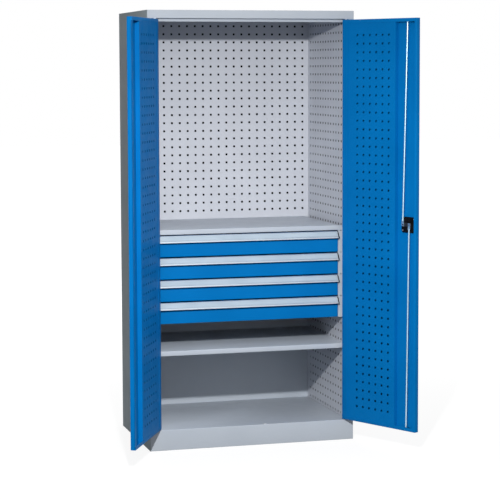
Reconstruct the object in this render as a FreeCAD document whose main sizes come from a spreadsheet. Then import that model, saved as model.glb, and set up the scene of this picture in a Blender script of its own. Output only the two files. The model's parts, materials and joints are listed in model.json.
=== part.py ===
import FreeCAD, Part
import math
import os
from types import SimpleNamespace

import Sketcher

# Workshop cabinet of folded sheet steel: double doors with a rod lock, a block of drawers and a shelf.
# Millimetres, X to the right, Y into the cabinet, Z up.
# The origin is on the floor, in the middle of the carcass.
# The doors are drawn closed and then swung open about their hinge pins.

sizes = {
    # carcass
    "cabinet_width": 950,
    "cabinet_depth": 600,
    "cabinet_height": 1950,
    "sheet": 1.2,
    "roof_band": 36,
    "stop_drop": 14,
    "stop_gap": 2.5,
    "plinth_height": 92,
    "plinth_return": 40,
    "floor_flange": 30,
    "frame_width": 25,
    "frame_return": 30,
    "rear_return": 20,
    "side_cavity": 28,
    "back_cavity": 14,
    "anchor_reach": 80,
    "anchor_upstand": 40,
    "anchor_length": 80,
    "anchor_thickness": 3,
    "anchor_hole": 11,
    "anchor_inset": 85,
    "overrun": 1,
    # shelf
    "shelf_top": 440,
    "shelf_lip": 22,
    "shelf_return": 15,
    "shelf_setback": 35,
    "shelf_side_gap": 0.3,
    "shelf_rear_gap": 6,
    "clip_reach": 26,
    "clip_upstand": 34,
    "clip_length": 30,
    "clip_inset": 90,
    # drawer block
    "block_top": 980,
    "block_setback": 60,
    "post_width": 23.5,
    "post_return": 40,
    "post_slot_width": 9,
    "post_slot_height": 3,
    "cover_lip": 22,
    "cover_return": 15,
    "drawer_count": 4,
    "drawer_pitch": 100,
    "drawer_gap": 6,
    "drawer_top_gap": 5,
    "drawer_side_gap": 2.5,
    "front_return": 14,
    "pan_depth": 490,
    "pan_height": 72,
    "pan_rise": 5,
    "grip_reach": 22,
    "grip_drop": 30,
    "grip_wall": 2.4,
    "grip_nose": 4,
    "grip_foot": 14,
    "grip_recess": 0.8,
    "slide_width": 13,
    "rail_height": 46,
    "rail_flange": 10,
    "rail_length": 480,
    "rail_setback": 18,
    "rail_clearance": 0.4,
    # doors
    "door_side_gap": 4,
    "door_end_gap": 4,
    "centre_gap": 4,
    "door_thickness": 22,
    "door_open_angle": 117.2,
    "hinge_inset": 6,
    "hinge_setback": 6,
    "hinge_lip": 34,
    "end_lip": 16,
    "free_lip": 12,
    "panel_channel": 124,
    "hole_side": 10,
    "hole_pitch": 38,
    "hole_margin": 38,
    "hole_end_margin": 60,
    "strip_overlap": 13,
    "strip_joggle": 0.8,
    "pin_radius": 3,
    "pin_plate": 9.8,
    "pin_plate_thickness": 3,
    "pin_reach": 12,
    "running_clearance": 0.05,
    "pivot_block": 9,
    "pivot_block_height": 15,
    "pivot_hole_clearance": 0.2,
    # lock
    "lock_height": 1010,
    "lock_backset": 64,
    "case_hinge_side": 31,
    "case_free_side": 51.5,
    "case_height": 68,
    "case_depth": 8,
    "case_corner": 10,
    "spindle_radius": 5,
    "spindle_hole_clearance": 3,
    "cam_gap": 0.4,
    "cam_thickness": 3,
    "cam_radius": 18.5,
    "cam_width": 16,
    "cam_corner": 7,
    "cam_pin_radius": 3,
    "cam_pin_reach": 0.4,
    "tongue_gap": 0.3,
    "tongue_thickness": 3,
    "tongue_width": 12,
    "tongue_end": 7,
    "tongue_neck": 16,
    "tongue_lap": 6,
    "rod_radius": 4,
    "rod_tip_inset": 0.5,
    "rod_hole_clearance": 2,
    "guide_offset": 6,
    "guide_play": 4.6,
    "guide_side_play": 0.5,
    "guide_wall": 4,
    "guide_height": 12,
    "rosette_radius": 27,
    "rosette_thickness": 6,
    "handle_gap": 0.4,
    "handle_boss_radius": 17,
    "handle_height": 28,
    "handle_length": 92,
    "handle_width": 20,
    "handle_corner": 8,
    "handle_wing_rise": 10,
    "key_radius": 7,
    "key_depth": 14,
    "key_slot_width": 2,
    "key_slot_length": 8,
    "key_slot_depth": 3,
}


class Length:
    # A length together with the sheet expression that gives it.
    def __init__(self, value, text):
        self.value = value
        self.text = text

    def __add__(self, other):
        return Length(self.value + other.value, f"({self.text} + {other.text})")

    def __sub__(self, other):
        return Length(self.value - other.value, f"({self.text} - {other.text})")

    def __mul__(self, factor):
        return Length(self.value * factor, f"({self.text} * ({factor}))")

    def __truediv__(self, divisor):
        return Length(self.value / divisor, f"({self.text} / {divisor})")

    def __neg__(self):
        return self * -1


def hypotenuse(across, up):
    return Length(math.hypot(across.value, up.value), f"hypot({across.text}; {up.text})")


doc = FreeCAD.newDocument("WorkshopCabinet")
sheet = doc.addObject("Spreadsheet::Sheet", "Sizes")
for row, (name, number) in enumerate(sizes.items(), 1):
    sheet.set(f"A{row}", name)
    sheet.set(f"B{row}", str(number))
    sheet.setAlias(f"B{row}", name)
doc.recompute()
s = SimpleNamespace(**{name: Length(sheet.get(name), f"Sizes.{name}") for name in sizes})
zero = Length(0, "0")
nodes = []


# Sketches and features

def new_body(label):
    return doc.addObject("PartDesign::Body", label)


def keep(piece):
    nodes.append(piece)
    return piece


def add_sketch(body, role, start):
    sketch = body.newObject("Sketcher::SketchObject", f"{body.Name}_sketch")
    plane = next(item for item in body.Origin.OriginFeatures if item.Role == role)
    sketch.AttachmentSupport = [(plane, "")]
    sketch.MapMode = "FlatFace"
    along_normal = -start if role == "XZ_Plane" else start
    sketch.setExpression(".AttachmentOffset.Base.z", along_normal.text)
    return sketch


def place_point(sketch, geometry, end, point):
    for kind, place in zip(("DistanceX", "DistanceY"), point):
        index = sketch.addConstraint(Sketcher.Constraint(kind, -1, 1, geometry, end, place.value))
        sketch.setExpression(f"Constraints[{index}]", place.text)


def polygon(body, role, start, corners):
    sketch = add_sketch(body, role, start)
    points = [FreeCAD.Vector(across.value, up.value) for across, up in corners]
    following = points[1:] + points[:1]
    for here, there in zip(points, following):
        sketch.addGeometry(Part.LineSegment(here, there))
    for index, corner in enumerate(corners):
        after = (index + 1) % len(corners)
        sketch.addConstraint(Sketcher.Constraint("Coincident", index, 2, after, 1))
        place_point(sketch, index, 1, corner)
    return sketch


def rectangle(body, role, start, low, high):
    corners = [low, (high[0], low[1]), high, (low[0], high[1])]
    return polygon(body, role, start, corners)


def circles(body, role, start, centres, radius):
    sketch = add_sketch(body, role, start)
    for across, up in centres:
        middle = FreeCAD.Vector(across.value, up.value)
        index = sketch.addGeometry(Part.Circle(middle, FreeCAD.Vector(0, 0, 1), radius.value))
        place_point(sketch, index, 3, (across, up))
        size = sketch.addConstraint(Sketcher.Constraint("Radius", index, radius.value))
        sketch.setExpression(f"Constraints[{size}]", radius.text)
    return sketch


def pad(body, sketch, length):
    feature = body.newObject("PartDesign::Pad", f"{body.Name}_pad")
    feature.Profile = sketch
    feature.setExpression("Length", length.text)
    return feature


def pocket(body, sketch, length, ahead=False):
    # ahead cuts along the sketch's normal, otherwise the cut goes against it
    feature = body.newObject("PartDesign::Pocket", f"{body.Name}_pocket")
    feature.Profile = sketch
    feature.setExpression("Length", length.text)
    feature.Reversed = ahead
    return feature


def round_edges(body, base, direction, radius):
    doc.recompute()
    names = []
    for number, edge in enumerate(base.Shape.Edges, 1):
        straight = isinstance(edge.Curve, Part.Line)
        if straight and abs(edge.tangentAt(edge.FirstParameter).dot(direction)) > 0.99:
            names.append(f"Edge{number}")
    feature = body.newObject("PartDesign::Fillet", f"{body.Name}_fillet")
    feature.Base = (base, names)
    feature.setExpression("Radius", radius.text)
    return feature


def sign(number):
    return 0 if abs(number) < 1e-6 else math.copysign(1, number)


def sheet_outline(path, side, thickness):
    # a folded sheet's section: the path and its copy one thickness to the left (side 1) or right (side -1)
    normals = []
    for (x0, y0), (x1, y1) in zip(path, path[1:]):
        normals.append((-side * sign(y1.value - y0.value), side * sign(x1.value - x0.value)))
    copies = []
    for index, (across, up) in enumerate(path):
        near = normals[max(index - 1, 0):index + 1]
        shift_x = sum(normal[0] for normal in near)
        shift_y = sum(normal[1] for normal in near)
        copies.append((across + thickness * shift_x, up + thickness * shift_y))
    return path + copies[::-1]


def folded_sheet(label, role, path, side, start, length, thickness=s.sheet):
    body = new_body(label)
    pad(body, polygon(body, role, start, sheet_outline(path, side, thickness)), length)
    return body


def mirrored(path, hand):
    return [(across * hand, up) for across, up in path]


def group(label, members):
    compound = doc.addObject("Part::Compound", label)
    compound.Links = members
    return compound


def bind(piece, **properties):
    for name, length in properties.items():
        piece.setExpression(name, length.text)


def place(piece, x, y, z):
    for axis, length in zip("xyz", (x, y, z)):
        piece.setExpression(f".Placement.Base.{axis}", length.text)


def box(label, low, high):
    piece = doc.addObject("Part::Box", label)
    bind(piece, Length=high[0] - low[0], Width=high[1] - low[1], Height=high[2] - low[2])
    place(piece, *low)
    return piece


def cylinder(label, radius, height, x, y, z, turn=None):
    piece = doc.addObject("Part::Cylinder", label)
    bind(piece, Radius=radius, Height=height)
    if turn:
        piece.Placement.Rotation = turn
    place(piece, x, y, z)
    return piece


def cut(label, base, tool):
    piece = doc.addObject("Part::Cut", label)
    piece.Base = base
    piece.Tool = tool
    return piece


def fuse(label, base, tool):
    piece = doc.addObject("Part::Fuse", label)
    piece.Base = base
    piece.Tool = tool
    return piece


hands = {"right": 1, "left": -1}
along_y = FreeCAD.Rotation(FreeCAD.Vector(1, 0, 0), -90)

# Places that several pieces share

half_width = s.cabinet_width / 2
front = -s.cabinet_depth / 2
back = s.cabinet_depth / 2
top = s.cabinet_height
roof_under = top - s.sheet
web_in = half_width - s.sheet
band_bottom = top - s.roof_band
frame_x = half_width - s.frame_width
jamb_end = front + s.frame_return
rear_face = back - s.sheet * 2
side_x = half_width - s.side_cavity
back_panel_y = back - s.back_cavity
floor_z = s.plinth_height

leaf_edge = frame_x - s.door_side_gap
leaf_free = s.centre_gap / 2
leaf_bottom = floor_z + s.door_end_gap
leaf_top = band_bottom - s.door_end_gap
leaf_in = front + s.door_thickness
skin_in = front + s.sheet
panel_face = leaf_in - s.sheet
stop_y = leaf_in + s.stop_gap
hinge_x = leaf_edge - s.hinge_inset
hinge_y = front + s.hinge_setback

lock_x = leaf_free + s.lock_backset
lock_z = s.lock_height
case_face = skin_in + s.case_depth
cam_back = case_face + s.cam_gap
cam_face = cam_back + s.cam_thickness
rod_y = cam_face + s.tongue_gap + s.tongue_thickness / 2
guide_x = lock_x - s.guide_offset
handle_back = front - s.rosette_thickness - s.handle_gap

block_front = front + s.block_setback
block_x = side_x - s.post_width
cover_bottom = s.block_top - s.cover_lip
drawer_count = round(s.drawer_count.value)
block_bottom = cover_bottom - s.drawer_pitch * drawer_count
pan_x = block_x - s.slide_width
front_x = block_x - s.drawer_side_gap


# Carcass

def rod_hole(body, sheet_low):
    # square hole that takes the tip of a lock rod
    half = s.rod_radius + s.rod_hole_clearance
    hole = rectangle(body, "XY_Plane", sheet_low - s.overrun, (guide_x - half, rod_y - half),
                     (guide_x + half, rod_y + half))
    pocket(body, hole, s.sheet + s.overrun * 2, ahead=True)


def side_wall(side, hand):
    # outer web with a rear return and, between plinth and roof band, the folded front frame
    path = [(half_width - s.rear_return, back), (half_width, back), (half_width, front),
            (frame_x, front), (frame_x, jamb_end)]
    body = folded_sheet(f"{side}_side_wall", "XY_Plane", mirrored(path, hand), -hand, zero, top)
    inner = min(frame_x, half_width - s.rear_return, key=lambda place: place.value) - s.overrun
    low = (inner * hand, front - s.overrun)
    pocket(body, rectangle(body, "XY_Plane", band_bottom, low, (web_in * hand, back + s.overrun)),
           s.roof_band + s.overrun, ahead=True)
    pocket(body, rectangle(body, "XY_Plane", floor_z, low, (web_in * hand, jamb_end + s.overrun)),
           floor_z + s.overrun)
    return body


def roof_tray():
    # front band, returned inwards over the doors and down again as the door stop
    path = [(back, band_bottom), (back, top), (front, top), (front, band_bottom),
            (stop_y, band_bottom), (stop_y, band_bottom - s.stop_drop)]
    body = folded_sheet("roof_tray", "YZ_Plane", path, 1, -web_in, web_in * 2)
    rod_hole(body, band_bottom)
    for hand in hands.values():
        # the stop ends at the front frame's returns
        low = (frame_x * hand, band_bottom - s.stop_drop - s.overrun)
        end = rectangle(body, "XZ_Plane", stop_y - s.overrun, low, ((web_in + s.overrun) * hand, band_bottom))
        pocket(body, end, s.sheet + s.overrun * 2)
    return body


def floor_tray():
    # floor folded down at the front as the plinth and returned along the ground
    path = [(rear_face, floor_z - s.floor_flange), (rear_face, floor_z), (front, floor_z),
            (front, zero), (front + s.plinth_return, zero)]
    body = folded_sheet("floor_tray", "YZ_Plane", path, 1, -web_in, web_in * 2)
    rod_hole(body, floor_z - s.sheet)
    return body


def anchor_brackets():
    brackets = []
    path = [(web_in, s.anchor_upstand), (web_in, zero), (web_in - s.anchor_reach, zero)]
    for side, hand in hands.items():
        for end, way in (("rear", 1), ("front", -1)):
            middle = (back - s.anchor_inset) * way
            body = folded_sheet(f"{side}_{end}_anchor", "XZ_Plane", mirrored(path, hand), -hand,
                                middle + s.anchor_length / 2, s.anchor_length, s.anchor_thickness)
            centre = ((web_in - s.anchor_reach / 2) * hand, middle)
            hole = circles(body, "XY_Plane", s.anchor_thickness + s.overrun, [centre], s.anchor_hole / 2)
            pocket(body, hole, s.anchor_thickness + s.overrun * 2)
            brackets.append(body)
    return group("anchor_brackets", brackets)


def perforated_side(side, hand):
    path = [(web_in, jamb_end), (side_x, jamb_end), (side_x, rear_face), (web_in, rear_face)]
    return folded_sheet(f"{side}_perforated_side", "XY_Plane", mirrored(path, hand), -hand,
                        floor_z, roof_under - floor_z)


def perforated_back():
    path = [(rear_face, roof_under), (back_panel_y, roof_under), (back_panel_y, cover_bottom),
            (rear_face, cover_bottom)]
    return folded_sheet("perforated_back", "YZ_Plane", path, 1, -side_x, side_x * 2)


def hinge_pin(label, x, plate_low, low, high):
    # round pin on a square weld plate
    half = s.pin_plate / 2
    shank = cylinder(f"{label}_shank", s.pin_radius, high - low, x, hinge_y, low)
    plate = box(f"{label}_plate", (x - half, hinge_y - half, plate_low),
                (x + half, hinge_y + half, plate_low + s.pin_plate_thickness))
    return fuse(label, shank, plate)


def hinge_pins(side, hand):
    # one pin hangs from the roof's return, the other stands on the floor
    x = hinge_x * hand
    upper = hinge_pin(f"{side}_upper_pin", x, band_bottom - s.pin_plate_thickness,
                      leaf_top - s.pin_reach, band_bottom)
    lower = hinge_pin(f"{side}_lower_pin", x, floor_z, floor_z, leaf_bottom + s.pin_reach)
    return group(f"{side}_hinge_pins", [upper, lower])


keep(roof_tray())
keep(floor_tray())
keep(box("rear_wall", (-web_in, rear_face, zero), (web_in, rear_face + s.sheet, roof_under)))
keep(anchor_brackets())
keep(perforated_back())
for side, hand in hands.items():
    keep(side_wall(side, hand))
    keep(perforated_side(side, hand))
    keep(hinge_pins(side, hand))


# Shelf

def lower_shelf():
    shelf_front = front + s.shelf_setback
    shelf_back = rear_face - s.shelf_rear_gap
    under = s.shelf_top - s.shelf_lip
    path = [(shelf_front + s.shelf_return, under), (shelf_front, under), (shelf_front, s.shelf_top),
            (shelf_back, s.shelf_top), (shelf_back, under)]
    reach = side_x - s.shelf_side_gap
    return folded_sheet("lower_shelf", "YZ_Plane", path, -1, -reach, reach * 2)


def shelf_clips():
    clips = []
    seat = s.shelf_top - s.sheet
    path = [(side_x, seat - s.clip_upstand), (side_x, seat), (side_x - s.clip_reach, seat)]
    for side, hand in hands.items():
        for end, way in (("rear", 1), ("front", -1)):
            middle = (back - s.clip_inset) * way
            clips.append(folded_sheet(f"{side}_{end}_clip", "XZ_Plane", mirrored(path, hand), hand,
                                      middle + s.clip_length / 2, s.clip_length))
    return group("shelf_clips", clips)


keep(lower_shelf())
keep(shelf_clips())


# Drawer block

def block_wall(side, hand):
    # web beside the drawers, folded round a front post that lies against the perforated side
    path = [(side_x, block_front + s.post_return), (side_x, block_front), (block_x, block_front),
            (block_x, back_panel_y), (side_x, back_panel_y)]
    body = folded_sheet(f"drawer_block_{side}_wall", "XY_Plane", mirrored(path, hand), -hand,
                        block_bottom, s.block_top - block_bottom)
    middle = (block_x + side_x) / 2
    low = ((middle - s.post_slot_width / 2) * hand, cover_bottom - s.post_slot_height)
    high = ((middle + s.post_slot_width / 2) * hand, cover_bottom)
    slot = rectangle(body, "XZ_Plane", block_front - s.overrun, low, high)
    first = pocket(body, slot, s.sheet + s.overrun * 2)
    pattern = body.newObject("PartDesign::LinearPattern", f"{body.Name}_slots")
    pattern.Originals = [first]
    pattern.Direction = (slot, ["V_Axis"])
    pattern.Reversed = True
    pattern.setExpression("Length", (s.drawer_pitch * (drawer_count - 1)).text)
    pattern.Occurrences = drawer_count
    body.Tip = pattern
    return body


def block_cover():
    path = [(block_front + s.cover_return, cover_bottom), (block_front, cover_bottom),
            (block_front, s.block_top), (back_panel_y, s.block_top), (back_panel_y, cover_bottom)]
    return folded_sheet("drawer_block_top", "YZ_Plane", path, -1, -block_x, block_x * 2)


def rail(label, hand, outer_x, flange, height, middle_z, opens):
    # channel rail, opens -1 towards the drawer and 1 towards the wall
    inner_x = outer_x + flange * opens
    low = middle_z - height / 2
    high = middle_z + height / 2
    path = [(inner_x, high), (outer_x, high), (outer_x, low), (inner_x, low)]
    start = block_front + s.rail_setback + s.rail_length
    return folded_sheet(label, "XZ_Plane", mirrored(path, hand), opens * hand, start, s.rail_length)


rail_step = s.sheet + s.rail_clearance
mid_rail_x = block_x - rail_step
inner_flange = mid_rail_x - rail_step - pan_x


def rail_middle(pan_bottom):
    return pan_bottom + s.pan_height / 2


def grip_strip(label, head):
    # sloping grip with a shallow band for a plain label, open below for the fingers
    face = block_front
    nose_y = face - s.grip_reach
    band_shares = (0.14, 0.84)
    slope_y = nose_y - (face - s.grip_wall)
    slope_z = -(s.grip_drop - s.grip_nose)
    upper_y, lower_y = [face - s.grip_wall + slope_y * share for share in band_shares]
    upper_z, lower_z = [head + slope_z * share for share in band_shares]
    section = [(face, head), (face - s.grip_wall, head), (upper_y, upper_z), (upper_y + s.grip_recess, upper_z),
               (lower_y + s.grip_recess, lower_z), (lower_y, lower_z), (nose_y, head + slope_z),
               (nose_y, head - s.grip_drop), (nose_y + s.grip_wall, head - s.grip_drop),
               (nose_y + s.grip_wall, head + slope_z), (face - s.grip_wall, head - s.grip_wall * 2),
               (face - s.grip_wall, head - s.grip_foot), (face, head - s.grip_foot)]
    body = new_body(label)
    pad(body, polygon(body, "YZ_Plane", -front_x, section), front_x * 2)
    return body


def drawer_pan(label, bottom):
    # welded from a floor and four walls
    near = block_front + s.sheet
    far = near + s.pan_depth
    rim = bottom + s.pan_height
    inside = bottom + s.sheet
    wall_x = pan_x - s.sheet
    floor = box(f"{label}_floor", (-pan_x, near, bottom), (pan_x, far, inside))
    near_wall = box(f"{label}_near_wall", (-wall_x, near, inside), (wall_x, near + s.sheet, rim))
    far_wall = box(f"{label}_far_wall", (-wall_x, far - s.sheet, inside), (wall_x, far, rim))
    right_wall = box(f"{label}_right_wall", (wall_x, near, inside), (pan_x, far, rim))
    left_wall = box(f"{label}_left_wall", (-pan_x, near, inside), (-wall_x, far, rim))
    return group(label, [floor, near_wall, far_wall, right_wall, left_wall])


def drawer_front(label, foot, head):
    # face sheet with a stiffening strip along its upper and lower edge
    strip_end = block_front + s.front_return
    behind = block_front + s.sheet
    face = box(f"{label}_face", (-front_x, block_front, foot), (front_x, behind, head))
    upper = box(f"{label}_upper_strip", (-front_x, behind, head - s.sheet), (front_x, strip_end, head))
    lower = box(f"{label}_lower_strip", (-front_x, behind, foot), (front_x, strip_end, foot + s.sheet))
    return group(label, [face, upper, lower])


def drawer(number):
    head = cover_bottom - s.drawer_pitch * (number - 1) - s.drawer_top_gap
    foot = head - s.drawer_pitch + s.drawer_gap
    bottom = foot + s.pan_rise
    middle = rail_middle(bottom)
    keep(drawer_front(f"drawer_{number}_front", foot, head))
    keep(drawer_pan(f"drawer_{number}_pan", bottom))
    keep(grip_strip(f"drawer_{number}_grip", head))
    inner, mid, outer = [], [], []
    for side, hand in hands.items():
        stem = f"drawer_{number}_{side}"
        height = s.rail_height
        outer.append(rail(f"{stem}_outer_rail", hand, block_x, s.rail_flange, height, middle, -1))
        height = height - rail_step * 2
        mid.append(rail(f"{stem}_mid_rail", hand, mid_rail_x, s.rail_flange, height, middle, -1))
        height = height - rail_step * 2
        inner.append(rail(f"{stem}_inner_rail", hand, pan_x, inner_flange, height, middle, 1))
    keep(group(f"drawer_{number}_inner_rails", inner))
    keep(group(f"drawer_{number}_mid_rails", mid))
    return outer


for side, hand in hands.items():
    keep(block_wall(side, hand))
keep(block_cover())
outer_rails = []
for number in range(1, drawer_count + 1):
    outer_rails.extend(drawer(number))
keep(group("drawer_outer_rails", outer_rails))


# Doors

door_pieces = {"left": [], "right": []}
perforated_sides = ("right",)


def on_door(side, piece):
    door_pieces[side].append(piece)
    return keep(piece)


def door_skin(side, hand):
    # tray folded from one sheet, with lips round its open inner side
    body = new_body(f"{side}_door_skin")
    pad(body, rectangle(body, "XZ_Plane", leaf_in, (leaf_free * hand, leaf_bottom), (leaf_edge * hand, leaf_top)),
        s.door_thickness)
    mouth_low = ((leaf_free + s.free_lip) * hand, leaf_bottom + s.end_lip)
    mouth_high = ((leaf_edge - s.hinge_lip) * hand, leaf_top - s.end_lip)
    pocket(body, rectangle(body, "XZ_Plane", leaf_in, mouth_low, mouth_high), s.sheet, ahead=True)
    hollow_low = ((leaf_free + s.sheet) * hand, leaf_bottom + s.sheet)
    hollow_high = ((leaf_edge - s.sheet) * hand, leaf_top - s.sheet)
    pocket(body, rectangle(body, "XZ_Plane", panel_face, hollow_low, hollow_high),
           s.door_thickness - s.sheet * 2, ahead=True)
    through = leaf_top - leaf_bottom + s.overrun * 2
    half = s.pivot_block / 2 + s.pivot_hole_clearance
    pivot_hole = rectangle(body, "XY_Plane", leaf_top + s.overrun, (hinge_x * hand - half, hinge_y - half),
                           (hinge_x * hand + half, hinge_y + half))
    pocket(body, pivot_hole, through)
    if side == "right":
        half_slot = s.rod_radius + s.guide_play
        half_width_y = s.rod_radius + s.guide_side_play
        slot = rectangle(body, "XY_Plane", leaf_top + s.overrun, (guide_x - half_slot, rod_y - half_width_y),
                         (guide_x + half_slot, rod_y + half_width_y))
        pocket(body, slot, through)
        spindle_hole = circles(body, "XZ_Plane", front - s.overrun, [(lock_x, lock_z)],
                               s.spindle_radius + s.spindle_hole_clearance)
        pocket(body, spindle_hole, s.sheet + s.overrun * 2)
    return body


def door_panel(side, hand):
    # perforated inner panel, folded down to the skin beside the lock channel
    channel_x = leaf_free + s.panel_channel
    path = [(leaf_edge - s.sheet, panel_face), (channel_x, panel_face), (channel_x, skin_in)]
    low = leaf_bottom + s.sheet
    body = folded_sheet(f"{side}_door_perforated_panel", "XY_Plane", mirrored(path, hand), hand,
                        low, leaf_top - s.sheet - low)
    if side in perforated_sides:
        perforate(body, hand, channel_x)
    return body


def perforate(body, hand, channel_x):
    # square holes on a square grid, as many as the panel's plain margins leave room for
    pitch = s.hole_pitch
    clear_width = leaf_edge - s.hinge_lip - channel_x - s.hole_margin * 2
    clear_height = leaf_top - leaf_bottom - s.hole_end_margin * 2
    columns = int(clear_width.value // pitch.value) + 1
    rows = int(clear_height.value // pitch.value) + 1
    first_x = channel_x + s.hole_margin
    first_z = (leaf_bottom + leaf_top) / 2 - pitch * ((rows - 1) / 2)
    half = s.hole_side / 2
    hole = rectangle(body, "XZ_Plane", panel_face + s.overrun, ((first_x - half) * hand, first_z - half),
                     ((first_x + half) * hand, first_z + half))
    first = pocket(body, hole, s.sheet + s.overrun * 2, ahead=True)
    grid = body.newObject("PartDesign::LinearPattern", f"{body.Name}_holes")
    grid.Originals = [first]
    grid.Direction = (hole, ["H_Axis"])
    grid.Reversed = hand < 0
    grid.setExpression("Length", (pitch * (columns - 1)).text)
    grid.Occurrences = columns
    grid.Direction2 = (hole, ["V_Axis"])
    grid.setExpression("Length2", (pitch * (rows - 1)).text)
    grid.Occurrences2 = rows
    body.Tip = grid


def pivot_blocks(side, hand):
    blocks = []
    half = s.pivot_block / 2
    x = hinge_x * hand
    for end, low in (("upper", leaf_top - s.pivot_block_height), ("lower", leaf_bottom)):
        block = box(f"{side}_{end}_block_blank", (x - half, hinge_y - half, low),
                    (x + half, hinge_y + half, low + s.pivot_block_height))
        bore = cylinder(f"{side}_{end}_block_bore", s.pin_radius + s.running_clearance,
                        s.pivot_block_height + s.overrun * 2, x, hinge_y, low - s.overrun)
        blocks.append(cut(f"{side}_{end}_pivot_block", block, bore))
    return group(f"{side}_door_pivot_blocks", blocks)


def overlap_strip():
    # joggled strip on the passive leaf, lying behind the active leaf's free edge
    fold = -leaf_free / 2
    behind = leaf_in + s.strip_joggle
    path = [(-(leaf_free + s.free_lip), leaf_in), (fold, leaf_in), (fold, behind), (s.strip_overlap, behind)]
    low = leaf_bottom + s.end_lip
    return folded_sheet("left_door_overlap_strip", "XY_Plane", path, 1, low, leaf_top - s.end_lip - low)


for side, hand in hands.items():
    on_door(side, door_skin(side, hand))
    on_door(side, door_panel(side, hand))
    on_door(side, pivot_blocks(side, hand))
on_door("left", overlap_strip())


# Lock

def lock_case():
    body = new_body("lock_case")
    low = (lock_x - s.case_free_side, lock_z - s.case_height / 2)
    high = (lock_x + s.case_hinge_side, lock_z + s.case_height / 2)
    block = pad(body, rectangle(body, "XZ_Plane", case_face, low, high), s.case_depth)
    round_edges(body, block, FreeCAD.Vector(0, 1, 0), s.case_corner)
    bore = circles(body, "XZ_Plane", case_face + s.overrun, [(lock_x, lock_z)],
                   s.spindle_radius + s.running_clearance)
    pocket(body, bore, s.case_depth + s.overrun * 2, ahead=True)
    return body


def lock_cam():
    # two-armed cam with a rod pin on each arm
    body = new_body("lock_cam")
    reach = s.cam_radius + s.cam_width / 2
    half = s.cam_width / 2
    plate = pad(body, rectangle(body, "XZ_Plane", cam_face, (lock_x - reach, lock_z - half),
                                (lock_x + reach, lock_z + half)), s.cam_thickness)
    round_edges(body, plate, FreeCAD.Vector(0, 1, 0), s.cam_corner)
    rise = s.tongue_gap + s.tongue_thickness + s.cam_pin_reach
    pins = circles(body, "XZ_Plane", cam_face + rise, [(lock_x - s.cam_radius, lock_z), (lock_x + s.cam_radius, lock_z)],
                   s.cam_pin_radius)
    pad(body, pins, rise)
    return body


def rosette():
    body = new_body("handle_rosette")
    disc = circles(body, "XZ_Plane", front, [(lock_x, lock_z)], s.rosette_radius)
    pad(body, disc, s.rosette_thickness)
    hole = circles(body, "XZ_Plane", front + s.overrun, [(lock_x, lock_z)], s.spindle_radius + s.handle_gap)
    pocket(body, hole, s.rosette_thickness + s.overrun * 2, ahead=True)
    return body


def turn_handle():
    # boss with a wing that points to the hinge side when the rods are drawn in
    body = new_body("turn_handle")
    half = s.handle_width / 2
    wing_back = handle_back - s.handle_wing_rise
    wing = pad(body, rectangle(body, "XZ_Plane", wing_back, (lock_x - half, lock_z - half),
                               (lock_x + s.handle_length - half, lock_z + half)),
               s.handle_height - s.handle_wing_rise)
    round_edges(body, wing, FreeCAD.Vector(0, 1, 0), s.handle_corner)
    pad(body, circles(body, "XZ_Plane", handle_back, [(lock_x, lock_z)], s.handle_boss_radius), s.handle_height)
    bore = circles(body, "XZ_Plane", handle_back - s.handle_height - s.overrun, [(lock_x, lock_z)],
                   s.key_radius + s.running_clearance)
    pocket(body, bore, s.key_depth + s.handle_gap + s.overrun)
    return body


def key_cylinder():
    body = new_body("key_cylinder")
    face = handle_back - s.handle_height
    pad(body, circles(body, "XZ_Plane", face + s.key_depth, [(lock_x, lock_z)], s.key_radius), s.key_depth)
    half_slot = s.key_slot_width / 2
    half_length = s.key_slot_length / 2
    slot = rectangle(body, "XZ_Plane", face - s.overrun, (lock_x - half_slot, lock_z - half_length),
                     (lock_x + half_slot, lock_z + half_length))
    pocket(body, slot, s.key_slot_depth + s.overrun)
    return body


def rod_guides():
    guides = []
    half = s.rod_radius + s.guide_play
    side_half = s.rod_radius + s.guide_side_play
    for end, low in (("upper", leaf_top - s.sheet - s.guide_height), ("lower", leaf_bottom + s.sheet)):
        high = low + s.guide_height
        block = box(f"{end}_guide_blank", (guide_x - half - s.guide_wall, skin_in, low),
                    (guide_x + half + s.guide_wall, panel_face, high))
        slot = box(f"{end}_guide_slot", (guide_x - half, rod_y - side_half, low - s.overrun),
                   (guide_x + half, rod_y + side_half, high + s.overrun))
        guides.append(cut(f"{end}_rod_guide", block, slot))
    return group("rod_guides", guides)


def lock_rod(label, pin_x, tip_z):
    # round rod drawn upright on its flattened and pierced end, then leaned from its cam pin to its guide
    across = guide_x - pin_x
    up = tip_z - lock_z
    length = hypotenuse(across, up)
    shaft = cylinder(f"{label}_shaft", s.rod_radius, length - s.tongue_neck, zero, zero, s.tongue_neck)
    half = s.tongue_width / 2
    thick = s.tongue_thickness / 2
    tongue = box(f"{label}_tongue", (-half, -thick, -s.tongue_end), (half, thick, s.tongue_neck + s.tongue_lap))
    eye = cylinder(f"{label}_eye", s.cam_pin_radius + s.running_clearance, s.tongue_thickness + s.overrun * 2,
                   zero, -thick - s.overrun, zero, along_y)
    rod = cut(label, fuse(f"{label}_blank", shaft, tongue), eye)
    lean = FreeCAD.Rotation(FreeCAD.Vector(0, 1, 0), math.degrees(math.atan2(across.value, up.value)))
    seat = FreeCAD.Vector(pin_x.value, rod_y.value, lock_z.value)
    return rod, FreeCAD.Placement(seat, lean)


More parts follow.
